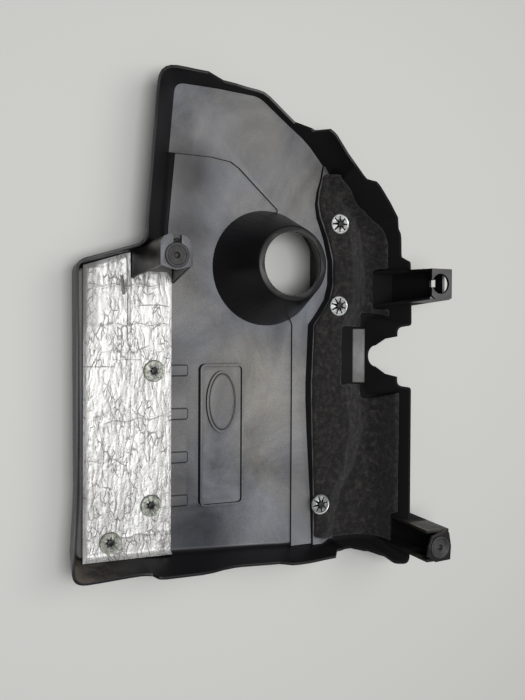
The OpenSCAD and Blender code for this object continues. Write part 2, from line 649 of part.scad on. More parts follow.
// Push nut: a dished disc with radial slots that bites on the stud
module push_nut() {
    difference() {
        rotate_extrude($fn = 72) polygon([[stud_d / 2, nut_t], [stud_d / 2 + 2.4, 0.35], [nut_d / 2 - 1.2, 0],
            [nut_d / 2, 0.5], [nut_d / 2, 0.5 + nut_t], [nut_d / 2 - 1.2, nut_t], [stud_d / 2 + 2.4, 0.35 + nut_t],
            [stud_d / 2, 2 * nut_t]]);
        for (k = [0:nut_slots - 1]) rotate([0, 0, k * 360 / nut_slots])
            translate([stud_d / 2 - 0.5, -0.55, -1]) cube([3.9, 1.1, 5]);
    }
}

module shield_push_nuts() {
    color([0.72, 0.73, 0.68]) for (p = shield_studs) translate([p.x, p.y, shield_top + crinkle / 2 + 0.05]) push_nut();
}

module felt_push_nuts() {
    color([0.8, 0.81, 0.8]) for (p = felt_studs) translate([p.x, p.y, nut_rest(p.y) + 0.05]) push_nut();
}

// Ball-stud grommet: two flanges on a neck that fills the seat, with a socket for the ball
module grommet() {
    r = seat_bore / 2;
    t = post_plate;
    depth = 9;
    difference() {
        rotate_extrude($fn = 72) polygon([[0, -depth], [r - 3, -depth], [flange_d / 2 - 1, -flange_t - t],
            [flange_d / 2 - 1, -t], [r, -t], [r, 0], [flange_d / 2, 0], [flange_d / 2, flange_t * 0.6],
            [flange_d / 2 - 1, flange_t], [flange_d / 2 - 2.4, flange_t], [flange_d / 2 - 3.2, flange_t * 0.3],
            [mouth_d / 2 + 1.6, flange_t * 0.3], [mouth_d / 2 + 1, 0], [0, 0]]);
        translate([0, 0, -depth / 2 - 0.5]) rotate_extrude($fn = 48)
            polygon(concat([[0, -ball_d / 2 * 0.7]], [for (a = [-45:15:45]) ball_d / 2 * [cos(a), sin(a)]],
                [[0, ball_d / 2 * 0.7]]));
        translate([0, 0, -depth / 2]) cylinder(h = depth, d = mouth_d, $fn = 48);
    }
}

module grommet_left() {
    color([0.13, 0.13, 0.13]) translate([left_post.x, left_post.y, post_left_h]) grommet();
}

module grommet_lower_right() {
    color([0.13, 0.13, 0.13]) translate([low_post.x, low_post.y, post_right_h]) grommet();
}

cover_shell();
heat_shield();
felt_pad();
shield_push_nuts();
felt_push_nuts();
grommet_left();
grommet_lower_right();
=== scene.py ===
import math

import bmesh
import bpy
import numpy as np
from mathutils import Matrix, Vector, noise


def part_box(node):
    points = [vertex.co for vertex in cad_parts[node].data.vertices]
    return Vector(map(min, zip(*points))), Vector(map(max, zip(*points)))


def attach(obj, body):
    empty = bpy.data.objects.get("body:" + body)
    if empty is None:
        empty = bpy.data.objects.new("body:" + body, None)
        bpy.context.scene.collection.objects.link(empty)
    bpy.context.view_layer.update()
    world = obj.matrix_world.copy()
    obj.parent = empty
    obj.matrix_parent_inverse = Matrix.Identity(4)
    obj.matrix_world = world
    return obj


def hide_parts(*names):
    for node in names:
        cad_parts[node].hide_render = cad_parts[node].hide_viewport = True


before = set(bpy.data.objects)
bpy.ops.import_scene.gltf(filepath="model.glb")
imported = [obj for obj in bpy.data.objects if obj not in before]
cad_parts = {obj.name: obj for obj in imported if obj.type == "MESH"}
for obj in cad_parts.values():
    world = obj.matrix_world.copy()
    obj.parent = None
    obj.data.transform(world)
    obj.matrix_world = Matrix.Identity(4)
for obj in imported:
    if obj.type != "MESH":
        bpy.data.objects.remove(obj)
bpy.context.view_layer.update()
scene = bpy.context.scene

# The bench: a pale, warm grey table top that the cover lies on, with a camera held over
# the cover's left side. One broad soft lamp hangs over the right side and a weak one
# fills in from the left, as under a workshop's ceiling panels.
bench_grey = (0.59, 0.588, 0.56, 1)
bench_mesh = bpy.data.meshes.new("bench")
bench_mesh.from_pydata([(-4, -4, 0), (4, -4, 0), (4, 4, 0), (-4, 4, 0)], [], [(0, 1, 2, 3)])
bench = bpy.data.objects.new("bench", bench_mesh)
scene.collection.objects.link(bench)
bench_paint = bpy.data.materials.new("bench_paint")
bench_paint.use_nodes = True
bench_skin = bench_paint.node_tree.nodes["Principled BSDF"]
bench_skin.inputs["Base Color"].default_value = bench_grey
bench_skin.inputs["Roughness"].default_value = 0.75
bench_skin.inputs["Specular IOR Level"].default_value = 0.2
bench_mesh.materials.append(bench_paint)

sky = bpy.data.worlds.new("workshop_air")
sky.use_nodes = True
sky.node_tree.nodes["Background"].inputs["Color"].default_value = (0.93, 0.95, 1.0, 1)
sky.node_tree.nodes["Background"].inputs["Strength"].default_value = 0.2
scene.world = sky
scene.view_settings.view_transform = "Standard"


def hang_lamp(name, place, target, size, power, tint):
    lamp = bpy.data.lights.new(name, "AREA")
    lamp.shape = "RECTANGLE"
    lamp.size, lamp.size_y = size
    lamp.energy = power
    lamp.color = tint
    hung = bpy.data.objects.new(name, lamp)
    scene.collection.objects.link(hung)
    hung.location = place
    hung.rotation_mode = "QUATERNION"
    hung.rotation_quaternion = (Vector(target) - Vector(place)).to_track_quat("-Z", "Y")


hang_lamp("ceiling_panel", (0.62, 0.25, 1.4), (0.0, 0.0, 0.0), (0.9, 1.3), 8.0, (1.0, 0.985, 0.96))
hang_lamp("fill_panel", (-0.3, -0.05, 1.7), (0.1, 0.0, 0.0), (0.6, 0.8), 20.0, (0.98, 0.985, 1.0))

camera_data = bpy.data.cameras.new("camera")
camera_data.lens = 42.69
camera_data.clip_start, camera_data.clip_end = 0.01, 20
camera = bpy.data.objects.new("camera", camera_data)
camera_right = Vector((0.90559, 0.00524, 0.42411))
camera_up = Vector((0.00229, 0.99985, -0.01724))
camera_back = camera_right.cross(camera_up).normalized()
camera_up = camera_back.cross(camera_right).normalized()
camera.matrix_world = Matrix((camera_right.normalized(), camera_up, camera_back)).transposed().to_4x4()
camera.location = (-0.3514, -0.00644, 0.798)
scene.collection.objects.link(camera)
scene.camera = camera


# The cover itself: one injection moulding in black filled nylon, satin where the tool was
# fine-grained, with years of engine-bay dust dried on whatever faces up. Its sharp edges
# carry the small radius that every moulded edge has.
def link_piece(name, mesh):
    piece = bpy.data.objects.new(name, mesh)
    scene.collection.objects.link(piece)
    return piece


def moulded_copy(name, node, weld=0.00002, flat_angle=0.8):
    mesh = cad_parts[node].data.copy()
    mesh.materials.clear()
    bm = bmesh.new()
    bm.from_mesh(mesh)
    bmesh.ops.remove_doubles(bm, verts=bm.verts, dist=weld)
    bmesh.ops.dissolve_limit(bm, angle_limit=math.radians(flat_angle), verts=bm.verts, edges=bm.edges)
    bm.to_mesh(mesh)
    bm.free()
    return link_piece(name, mesh)


def round_edges(piece, width, segments, angle):
    rounding = piece.modifiers.new("moulded_edges", "BEVEL")
    rounding.width = width
    rounding.segments = segments
    rounding.limit_method = "ANGLE"
    rounding.angle_limit = math.radians(angle)
    rounding.harden_normals = False
    rounding.use_clamp_overlap = True
    baked = bpy.data.meshes.new_from_object(piece.evaluated_get(bpy.context.evaluated_depsgraph_get()))
    piece.modifiers.clear()
    piece.data = baked
    piece.data.shade_smooth()
    piece.data.set_sharp_from_angle(angle=math.radians(angle))


def new_finish(name):
    finish = bpy.data.materials.new(name)
    finish.use_nodes = True
    return finish, finish.node_tree.nodes, finish.node_tree.links


def add(nodes, kind, **values):
    made = nodes.new(kind)
    for key, value in values.items():
        if key.startswith("in_"):
            made.inputs[key[3:].replace("_", " ")].default_value = value
        else:
            setattr(made, key, value)
    return made


def new_effect(name, ins, outs):
    effect = bpy.data.node_groups.new(name, "ShaderNodeTree")
    for socket, kind, value in ins:
        made = effect.interface.new_socket(socket, in_out="INPUT", socket_type="NodeSocket" + kind)
        if value is not None:
            made.default_value = value
    for socket, kind in outs:
        effect.interface.new_socket(socket, in_out="OUTPUT", socket_type="NodeSocket" + kind)
    return effect, effect.nodes.new("NodeGroupInput"), effect.nodes.new("NodeGroupOutput")


def ramp(nodes, stops):
    made = nodes.new("ShaderNodeValToRGB")
    while len(made.color_ramp.elements) < len(stops):
        made.color_ramp.elements.new(0.5)
    for element, (place, value) in zip(made.color_ramp.elements, stops):
        element.position = place
        element.color = (value, value, value, 1) if not hasattr(value, "__len__") else (*value, 1)
    return made


# Dried dust: a film broken up by blotches and by fine specks, thickest on level faces
dust, dust_in, dust_out = new_effect(
    "dried_dust",
    [("Place", "Vector", None), ("Level", "Float", 1.0),
     ("Blotches", "Float", 18.0), ("Specks", "Float", 900.0)],
    [("Mask", "Float")])
blotch = add(dust.nodes, "ShaderNodeTexNoise", in_Detail=6.0, in_Roughness=0.62, in_Distortion=0.6)
speck = add(dust.nodes, "ShaderNodeTexNoise", in_Detail=3.0, in_Roughness=0.7)
dust.links.new(dust_in.outputs["Place"], blotch.inputs["Vector"])
dust.links.new(dust_in.outputs["Blotches"], blotch.inputs["Scale"])
dust.links.new(dust_in.outputs["Place"], speck.inputs["Vector"])
dust.links.new(dust_in.outputs["Specks"], speck.inputs["Scale"])
spread = ramp(dust.nodes, [(0.25, 0.22), (0.74, 1.0)])
dust.links.new(blotch.outputs["Fac"], spread.inputs["Fac"])
grainy = ramp(dust.nodes, [(0.35, 0.55), (0.7, 1.0)])
dust.links.new(speck.outputs["Fac"], grainy.inputs["Fac"])
by_level = add(dust.nodes, "ShaderNodeMath", operation="MULTIPLY")
dust.links.new(spread.outputs["Color"], by_level.inputs[0])
dust.links.new(dust_in.outputs["Level"], by_level.inputs[1])
by_grain = add(dust.nodes, "ShaderNodeMath", operation="MULTIPLY", use_clamp=True)
dust.links.new(by_level.outputs[0], by_grain.inputs[0])
dust.links.new(grainy.outputs["Color"], by_grain.inputs[1])
dust.links.new(by_grain.outputs[0], dust_out.inputs["Mask"])

shell_finish, nodes, links = new_finish("satin_black_moulding")
skin = nodes["Principled BSDF"]
where = add(nodes, "ShaderNodeTexCoord")
place = add(nodes, "ShaderNodeSeparateXYZ")
links.new(where.outputs["Object"], place.inputs[0])
facing = add(nodes, "ShaderNodeNewGeometry")
upward = add(nodes, "ShaderNodeSeparateXYZ")
links.new(facing.outputs["Normal"], upward.inputs[0])


def mottle(**settings):
    """A noise that lies on the piece's own coordinates."""
    made = add(nodes, "ShaderNodeTexNoise", **settings)
    links.new(where.outputs["Object"], made.inputs["Vector"])
    return made


def product(*values):
    first = values[0]
    for value in values[1:]:
        both = add(nodes, "ShaderNodeMath", operation="MULTIPLY")
        for socket, side in zip(both.inputs, (first, value)):
            if hasattr(side, "links"):
                links.new(side, socket)
            else:
                socket.default_value = side
        first = both.outputs[0]
    return first


def band(source, low, high, at_low=0.0, at_high=1.0):
    """Goes from one value to another while the source goes from low to high."""
    made = add(nodes, "ShaderNodeMapRange", in_From_Min=low, in_From_Max=high,
               in_To_Min=at_low, in_To_Max=at_high)
    links.new(source, made.inputs["Value"])
    return made.outputs["Result"]


def either(a, b):
    both = add(nodes, "ShaderNodeMath", operation="MAXIMUM")
    links.new(a, both.inputs[0])
    if hasattr(b, "links"):
        links.new(b, both.inputs[1])
    else:
        both.inputs[1].default_value = b
    return both.outputs[0]


def less(source, amount):
    made = add(nodes, "ShaderNodeMath", operation="SUBTRACT")
    links.new(source, made.inputs[0])
    made.inputs[1].default_value = amount
    return made.outputs[0]


def apart(source, mark):
    """How far the source is from a mark, to either side."""
    made = add(nodes, "ShaderNodeMath", operation="ABSOLUTE")
    links.new(less(source, mark), made.inputs[0])
    return made.outputs[0]


def near_spot(x, y, reach, depth, z=0.003):
    """1 beyond reach of a spot, less by depth close to it."""
    away = add(nodes, "ShaderNodeVectorMath", operation="DISTANCE")
    links.new(where.outputs["Object"], away.inputs[0])
    away.inputs[1].default_value = (x, y, z)
    return band(away.outputs["Value"], reach * 0.25, reach, 1.0 - depth, 1.0)


# Dust lies thick on the floor, in the notch bay and on the post tops, and is wiped off
# the rim, the lip and the studs. The panel is made lighter towards the right and darker on a
# few spots through more or less dust, as painted sheen and painted shade.
level = band(upward.outputs["Z"], 0.9, 0.985)
low_down = band(place.outputs["Z"], 0.008, 0.022, 1.0, 0.06)
post_tops = product(band(place.outputs["Z"], 0.082, 0.088),
                    band(place.outputs["Y"], -0.15, -0.05, 0.06, 1.0))
in_bay = product(band(place.outputs["Y"], 0.0025, 0.0015), band(place.outputs["Y"], -0.0575, -0.0565),
                 band(place.outputs["X"], 0.1315, 0.133), band(place.outputs["X"], 0.145, 0.1435))
open_floor = either(band(place.outputs["X"], 0.108, 0.104), in_bay)
# More dust towards the right, a painted sheen
sheen_towards_right = band(place.outputs["X"], -0.09, 0.03, 0.95, 1.35)

shield_studs = [(-0.099, -0.0415), (-0.102, -0.1755), (-0.143, -0.209)]
stud_top_z = 0.0085
# Bare stud tops, and darker spots on the panel that are painted shade
bare_studs_and_shade_spots = product(near_spot(-0.062, 0.155, 0.045, 0.78), near_spot(-0.066, 0.105, 0.035, 0.62),
                near_spot(-0.05, -0.215, 0.05, 0.5), near_spot(-0.067, -0.16, 0.03, 0.4),
                *[near_spot(x, y, 0.007, 1.0, stud_top_z) for x, y in shield_studs])

# The flat tabs are moulded with a fine step round them. A thin line at the foot of each is left bare of dust,
# a painted shadow outline round the tab.
tab_end_x, tab_first_y, tab_pitch, tab_l, tab_w = -0.063, -0.0415, 0.044, 0.034, 0.0105
tab_corner, step_at, tab_margin = 0.002, 0.0022, 0.008
tab_last_y = tab_first_y - 3 * tab_pitch
tab_turn = add(nodes, "ShaderNodeMath", operation="MODULO")
links.new(less(place.outputs["Y"], tab_last_y - tab_pitch / 2), tab_turn.inputs[0])
tab_turn.inputs[1].default_value = tab_pitch
past_corner = add(nodes, "ShaderNodeCombineXYZ")
for i, (source, middle, half) in enumerate(((place.outputs["X"], tab_end_x - tab_l / 2, tab_l / 2),
                                            (tab_turn.outputs[0], tab_pitch / 2, tab_w / 2))):
    links.new(either(less(apart(source, middle), half - tab_corner), 0.0), past_corner.inputs[i])
reach = add(nodes, "ShaderNodeVectorMath", operation="LENGTH")
links.new(past_corner.outputs[0], reach.inputs[0])
beside_tabs = either(
    band(place.outputs["Y"], tab_first_y + tab_margin, tab_first_y + tab_margin + 0.001),
    band(place.outputs["Y"], tab_last_y - tab_margin, tab_last_y - tab_margin - 0.001))
# Painted shadow: a thin ring at each tab's foot where the dust is left off, so the black shows
tab_shadow_line = either(band(apart(reach.outputs["Value"], step_at), 0.0004, 0.001, 0.1, 1.0), beside_tabs)

# The dust film. Its mask also carries the painted shadow lines and the painted shade spots, left bare of
# dust.
dust_film_with_shade = add(nodes, "ShaderNodeGroup", node_tree=dust)
dust_film_with_shade.inputs["Blotches"].default_value = 10.0
dust_film_with_shade.inputs["Specks"].default_value = 1300.0
links.new(where.outputs["Object"], dust_film_with_shade.inputs["Place"])
links.new(product(level, either(product(low_down, open_floor), post_tops), sheen_towards_right, bare_studs_and_shade_spots,
                  tab_shadow_line), dust_film_with_shade.inputs["Level"])
hue = mottle(in_Scale=7.0, in_Detail=4.0)
dust_hue = ramp(nodes, [(0.36, (0.25, 0.262, 0.3)), (0.64, (0.3, 0.288, 0.262))])
links.new(hue.outputs["Fac"], dust_hue.inputs["Fac"])
coat = add(nodes, "ShaderNodeMix", data_type="RGBA")
coat.inputs["A"].default_value = (0.0065, 0.006, 0.0068, 1)
links.new(dust_film_with_shade.outputs["Mask"], coat.inputs["Factor"])
links.new(dust_hue.outputs["Color"], coat.inputs["B"])

# The cap of the middle right post is paler than bare plastic
pale_cap = add(nodes, "ShaderNodeMix", data_type="RGBA")
links.new(product(level, band(place.outputs["Z"], 0.096, 0.1), band(place.outputs["Y"], 0.0, 0.01)),
          pale_cap.inputs["Factor"])
links.new(coat.outputs["Result"], pale_cap.inputs["A"])
pale_cap.inputs["B"].default_value = (0.08, 0.077, 0.075, 1)

# Brown grime on the lower left wall. The same mottled brown on the flanks of the left and the lower right
# post, on the faces turned to the lamps, is painted light.
grime_and_light_mottle = mottle(in_Scale=26.0, in_Detail=7.0, in_Roughness=0.7)
lit_left_flank = product(band(place.outputs["Z"], 0.04, 0.07), band(upward.outputs["X"], -0.35, -0.8),
                     band(place.outputs["X"], -0.07, -0.075), 0.8)
lower_left = product(band(place.outputs["X"], -0.12, -0.17), band(place.outputs["Y"], -0.12, -0.2),
                     band(upward.outputs["Z"], 0.9, 0.6), 0.55)
lit_last_flank = product(band(place.outputs["Z"], 0.05, 0.08), band(upward.outputs["Y"], 0.3, 0.8),
                     band(place.outputs["Y"], -0.18, -0.19), 0.7)
browned_and_lit = add(nodes, "ShaderNodeMix", data_type="RGBA")
# Brown on the lower left wall is grime; on the post flanks it is painted light
links.new(product(band(grime_and_light_mottle.outputs["Fac"], 0.42, 0.68), either(either(lit_left_flank, lower_left), lit_last_flank)),
          browned_and_lit.inputs["Factor"])
links.new(pale_cap.outputs["Result"], browned_and_lit.inputs["A"])
browned_and_lit.inputs["B"].default_value = (0.21, 0.175, 0.135, 1)
links.new(browned_and_lit.outputs["Result"], skin.inputs["Base Color"])
dusty_rough = band(dust_film_with_shade.outputs["Mask"], 0.0, 1.0, 0.34, 0.5)
in_pocket = product(band(place.outputs["X"], 0.104, 0.11), band(place.outputs["Z"], 0.07, 0.06), 0.9)
links.new(either(dusty_rough, in_pocket), skin.inputs["Roughness"])
skin.inputs["Specular IOR Level"].default_value = 0.22
pebble = mottle(in_Scale=1400.0, in_Detail=2.0)
grain = add(nodes, "ShaderNodeBump", in_Strength=0.1, in_Distance=0.0003)
links.new(pebble.outputs["Fac"], grain.inputs["Height"])
links.new(grain.outputs["Normal"], skin.inputs["Normal"])

shell = moulded_copy("moulded_cover", "cover_shell")
round_edges(shell, 0.0004, 2, 34)
shell.data.materials.append(shell_finish)
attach(shell, "root")
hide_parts("cover_shell")


# The heat shield: a strip of embossed aluminium foil on a thin backing, laid along the left
# side and passed round the foot of the left post, where it is slit. Handling has left it
# full of long wrinkles and cross folds, and their hollows are darkened as painted shade.
foil_left, foil_right, foil_low = -0.1708, -0.0808, -0.2255
foil_top, foil_rise = 0.0605, 0.32
foil_under, foil_thick = 0.0028, 0.0022
foil_step, foil_rows = 0.00075, 380
slit_low, slit_high, slit_half = Vector((-0.1301, 0.0335)), Vector((-0.1321, 0.0525)), 0.0017
notch_left, notch_right, notch_low, notch_high = -0.1233, -0.1190, 0.0495, 0.0570
corner_cut, corner_slope = 0.005, 1.3
stud_hole_r = 0.0042


def foil_edge(x):
    if x < notch_left:
        return foil_top + (x - foil_left) * foil_rise
    if x < notch_right:
        return notch_low
    return notch_high - max(0.0, x - foil_right + corner_cut) * corner_slope


def foil_curl(x, y, edge):
    """The strip lifts off the floor along its left, lower and upper left borders."""
    reach, steepness, clear_of_notch = 0.006, 130.0, 0.004
    near = max(0.0, reach - (x - foil_left), reach - (y - foil_low))
    if x < notch_left - clear_of_notch:
        near = max(near, min(reach, reach - (edge - y)))
    return steepness * near * near


rng = np.random.RandomState(11)
foil_cols = int((foil_right - foil_left) / foil_step)
columns = np.linspace(foil_left, foil_right, foil_cols + 1)
edges = np.array([foil_edge(x) for x in columns])
share = np.linspace(0, 1, foil_rows + 1)
gx = np.tile(columns, (foil_rows + 1, 1))
gy = foil_low + share[:, None] * (edges[None, :] - foil_low)
lift = np.zeros_like(gx)


def crumple(count, stretch, height, seed):
    """Facets that meet in ridges, drawn out along the strip."""
    draw = np.random.RandomState(seed)
    cx = draw.uniform(foil_left - 0.01, foil_right + 0.01, count)
    cy = draw.uniform(foil_low - 0.02, 0.1, count)
    tilt = draw.uniform(0.5, 1.5, count)
    near = np.full(gx.shape, 1e9)
    for a, b, t in zip(cx, cy, tilt):
        near = np.minimum(near, np.hypot((gx - a) * t, (gy - b) / stretch))
    return near / near.max() * height


lift += crumple(300, 3.0, 0.0007, 3)
lift += crumple(1500, 2.0, 0.0005, 4)
patches = 0.5 + 0.5 * np.sin(gy * 70 + 3 * np.sin(gx * 45)) * np.sin(gx * 60 + gy * 20)
lift += 0.00008 * np.cos(gx * 2 * math.pi / 0.0046 + 0.6 * np.sin(gy * 60)) * patches
for _ in range(420):
    px, py = rng.uniform(foil_left, foil_right), rng.uniform(foil_low, 0.07)
    run, wide = rng.uniform(0.003, 0.022), rng.uniform(0.0005, 0.0009)
    sway, depth = rng.uniform(-0.35, 0.35), rng.uniform(0.0002, 0.0006)
    off = gx - px - sway * (gy - py) - 0.0007 * np.sin((gy - py) * 320 + px * 900)
    lift -= depth * np.exp(-np.abs(off) / wide) * np.clip(1.2 - np.abs(gy - py) / run, 0, 1)
cross_folds = [(0.041, -0.171, -0.09, 0.0007, 0.02), (0.004, -0.171, -0.081, -0.0008, 0.01),
               (-0.020, -0.165, -0.085, 0.0005, -0.03), (-0.090, -0.150, -0.085, 0.0007, 0.06),
               (-0.129, -0.171, -0.12, -0.0006, -0.02), (-0.204, -0.150, -0.081, 0.0006, 0.03),
               (0.058, -0.168, -0.13, 0.0007, 0.25)]
for y, left, right, tall, bend in cross_folds:
    line = y + bend * (gx - left) + 0.0012 * np.sin(gx * 260)
    inside = np.clip((gx - left) / 0.006, 0, 1) * np.clip((right - gx) / 0.006, 0, 1)
    lift += tall * np.exp(-np.abs(gy - line) / 0.0012) * inside
seam = gx + 0.127 + 0.02 * (gy - 0.03)
lift += 0.0009 * np.exp(-np.abs(seam) / 0.0012) * np.clip((gy + 0.01) / 0.02, 0, 1)
lift -= lift.mean()
lift = np.clip(lift, -0.0012, 0.0012)
deepest_fold = 0.00013
around = (lift[2:, 1:-1] + lift[:-2, 1:-1] + lift[1:-1, 2:] + lift[1:-1, :-2]) / 4
hollow = np.zeros_like(lift)
hollow[1:-1, 1:-1] = around - lift[1:-1, 1:-1]
hollow = np.clip(hollow / deepest_fold, 0, 1)

verts, crease = [], []
for face_up in (True, False):
    for r in range(foil_rows + 1):
        for c in range(foil_cols + 1):
            x, y = gx[r, c], gy[r, c]
            z = foil_under + foil_curl(x, y, edges[c])
            if face_up:
                rim = min(1.0, min(x - foil_left, foil_right - x, y - foil_low, edges[c] - y) / 0.002)
                z += foil_thick * 0.8 + max(0.0, lift[r, c] + 0.0003) * max(0.15, rim)
            verts.append((x, y, z))
            crease.append(hollow[r, c] if face_up else 0.0)
slit_run = slit_high - slit_low


def cut_out(r, c):
    """Whether a cell of the strip falls into the slit or into the hole for a stud."""
    mid = Vector(((gx[r, c] + gx[r, c + 1]) / 2, (gy[r, c] + gy[r + 1, c]) / 2))
    along = (mid - slit_low).dot(slit_run) / slit_run.length_squared
    in_slit = 0 < along < 1 and (mid - slit_low - slit_run * along).length < slit_half
    return in_slit or any((mid - Vector(stud)).length < stud_hole_r for stud in shield_studs)


kept = {(r, c) for r in range(foil_rows) for c in range(foil_cols) if not cut_out(r, c)}
per_row, per_side = foil_cols + 1, (foil_cols + 1) * (foil_rows + 1)
faces = []
for r, c in sorted(kept):
    a = r * per_row + c
    faces.append((a, a + 1, a + per_row + 1, a + per_row))
    faces.append((per_side + a, per_side + a + per_row, per_side + a + per_row + 1, per_side + a + 1))
    for (dr, dc), (p, q) in {(-1, 0): (a, a + 1), (1, 0): (a + per_row + 1, a + per_row),
                             (0, -1): (a + per_row, a), (0, 1): (a + 1, a + per_row + 1)}.items():
        if (r + dr, c + dc) not in kept:
            faces.append((q, p, per_side + p, per_side + q))
foil_mesh = bpy.data.meshes.new("foil_strip")
foil_mesh.from_pydata(verts, [], faces)
marks = foil_mesh.attributes.new("crease", "FLOAT", "POINT")
marks.data.foreach_set("value", crease)
bm = bmesh.new()
bm.from_mesh(foil_mesh)
bmesh.ops.delete(bm, geom=[v for v in bm.verts if not v.link_faces], context="VERTS")
bm.to_mesh(foil_mesh)
bm.free()
foil_mesh.shade_smooth()
foil_mesh.set_sharp_from_angle(angle=math.radians(50))
foil = link_piece("foil_heat_shield", foil_mesh)

foil_finish, nodes, links = new_finish("crinkled_foil")
skin = nodes["Principled BSDF"]
where = add(nodes, "ShaderNodeTexCoord")
# Darker in the hollows of the folds: painted shade
folded = add(nodes, "ShaderNodeAttribute", attribute_name="crease")
fold_shade = ramp(nodes, [(0.12, 0.0), (0.85, 0.9)])
links.new(folded.outputs["Fac"], fold_shade.inputs["Fac"])
dull = mottle(in_Scale=22.0, in_Detail=5.0, in_Roughness=0.6)
metal_hue = ramp(nodes, [(0.32, (0.43, 0.424, 0.415)), (0.5, (0.58, 0.575, 0.563)),
                         (0.7, (0.67, 0.663, 0.648))])
links.new(dull.outputs["Fac"], metal_hue.inputs["Fac"])

# Fine crinkles: the edges of drawn-out cells, in patches, and never quite straight. Their lines are pressed
# into the bump and darkened in the colour as painted shade.
wander = mottle(in_Scale=120.0, in_Detail=2.0)


def wavering(amount):
    """The piece's own coordinates, pushed about by a fine noise."""
    made = add(nodes, "ShaderNodeVectorMath", operation="MULTIPLY_ADD")
    links.new(wander.outputs["Color"], made.inputs[0])
    made.inputs[1].default_value = (amount, amount, 0.0)
    links.new(where.outputs["Object"], made.inputs[2])
    return made.outputs[0]


drawn_out = add(nodes, "ShaderNodeMapping")
drawn_out.inputs["Scale"].default_value = (1.0, 0.42, 1.0)
links.new(wavering(0.006), drawn_out.inputs["Vector"])
net = add(nodes, "ShaderNodeTexVoronoi", feature="DISTANCE_TO_EDGE", in_Scale=185.0)
links.new(drawn_out.outputs[0], net.inputs["Vector"])
some = mottle(in_Scale=75.0, in_Detail=3.0)
fine_folds = product(band(net.outputs["Distance"], 0.07, 0.0), band(some.outputs["Fac"], 0.45, 0.58), 0.85)

# Shaded under the push nuts, duller along the upper left border, soiled at the lower right
place = add(nodes, "ShaderNodeSeparateXYZ")
links.new(where.outputs["Object"], place.inputs[0])
round_studs = product(*[near_spot(x, y, 0.0125, 1.0, 0.006) for x, y in shield_studs])
under_nuts = band(round_studs, 1.0, 0.0, 0.0, 0.95)
left_border = product(band(place.outputs["X"], -0.152, -0.16), band(place.outputs["Y"], -0.02, 0.004), 0.55)
soil = mottle(in_Scale=160.0, in_Detail=5.0, in_Roughness=0.7)
soiled = product(band(soil.outputs["Fac"], 0.46, 0.6), band(place.outputs["X"], -0.105, -0.084),
                 band(place.outputs["Y"], -0.15, -0.2), 0.8)
darkest = either(either(fold_shade.outputs["Color"], fine_folds),
                 either(either(under_nuts, left_border), soiled))

# The seam and the sharpest creases, drawn as dark lines of painted shade: the axis that each stands across,
# the one it runs along, where it lies, its two ends and half its width
swayed = add(nodes, "ShaderNodeSeparateXYZ")
links.new(wavering(0.003), swayed.inputs[0])
sharp_creases = [("X", "Y", -0.1247, -0.0125, 0.0305, 0.0008), ("X", "Y", -0.131, -0.0275, 0.0025, 0.0006),
                 ("X", "Y", -0.0975, -0.026, -0.008, 0.0006), ("Y", "X", 0.025, -0.114, -0.084, 0.0007),
                 ("Y", "X", -0.035, -0.17, -0.14, 0.0006), ("Y", "X", -0.0285, -0.14, -0.112, 0.0004)]
for across, along, lies_at, low, high, half in sharp_creases:
    darkest = either(darkest, product(band(apart(swayed.outputs[across], lies_at), half, half * 0.4),
                                      band(place.outputs[along], low - 0.002, low + 0.001),
                                      band(place.outputs[along], high + 0.002, high - 0.001), 0.9))
# One dark colour serves the painted shade in the folds, crinkles, creases and under the nuts, the duller
# border and the soiling
in_folds = add(nodes, "ShaderNodeMix", data_type="RGBA")
links.new(darkest, in_folds.inputs["Factor"])
links.new(metal_hue.outputs["Color"], in_folds.inputs["A"])
in_folds.inputs["B"].default_value = (0.1, 0.093, 0.087, 1)
links.new(in_folds.outputs["Result"], skin.inputs["Base Color"])
skin.inputs["Metallic"].default_value = 0.5
links.new(band(dull.outputs["Fac"], 0.0, 1.0, 0.4, 0.56), skin.inputs["Roughness"])
emboss = mottle(in_Scale=420.0, in_Detail=4.0)
pressed = add(nodes, "ShaderNodeMath", operation="SUBTRACT")
links.new(emboss.outputs["Fac"], pressed.inputs[0])
links.new(fine_folds, pressed.inputs[1])
bump = add(nodes, "ShaderNodeBump", in_Strength=0.5, in_Distance=0.0006)
links.new(pressed.outputs[0], bump.inputs["Height"])
links.new(bump.outputs["Normal"], skin.inputs["Normal"])
foil.data.materials.append(foil_finish)
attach(foil, "root")
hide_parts("heat_shield")


# The felt: a needled pad about 5 mm thick, pressed over the ridge and up against the side
# wall, held by three push nuts. It is soft-edged, hairy on the surface and grey-brown
# where dust has worked into it.
def soft_copy(name, node, voxel, rounds):
    piece = moulded_copy(name, node)
    grid = piece.modifiers.new("felted", "REMESH")
    grid.mode = "VOXEL"
    grid.voxel_size = voxel
    eased = piece.modifiers.new("eased", "SMOOTH")
    eased.factor, eased.iterations = 0.5, rounds
    piece.data = bpy.data.meshes.new_from_object(piece.evaluated_get(bpy.context.evaluated_depsgraph_get()))
    piece.modifiers.clear()
    return piece


felt = soft_copy("felt_pad", "felt_pad", 0.0017, 4)
felt_lumps = [(55, 0.0008), (160, 0.0004), (480, 0.0002)]

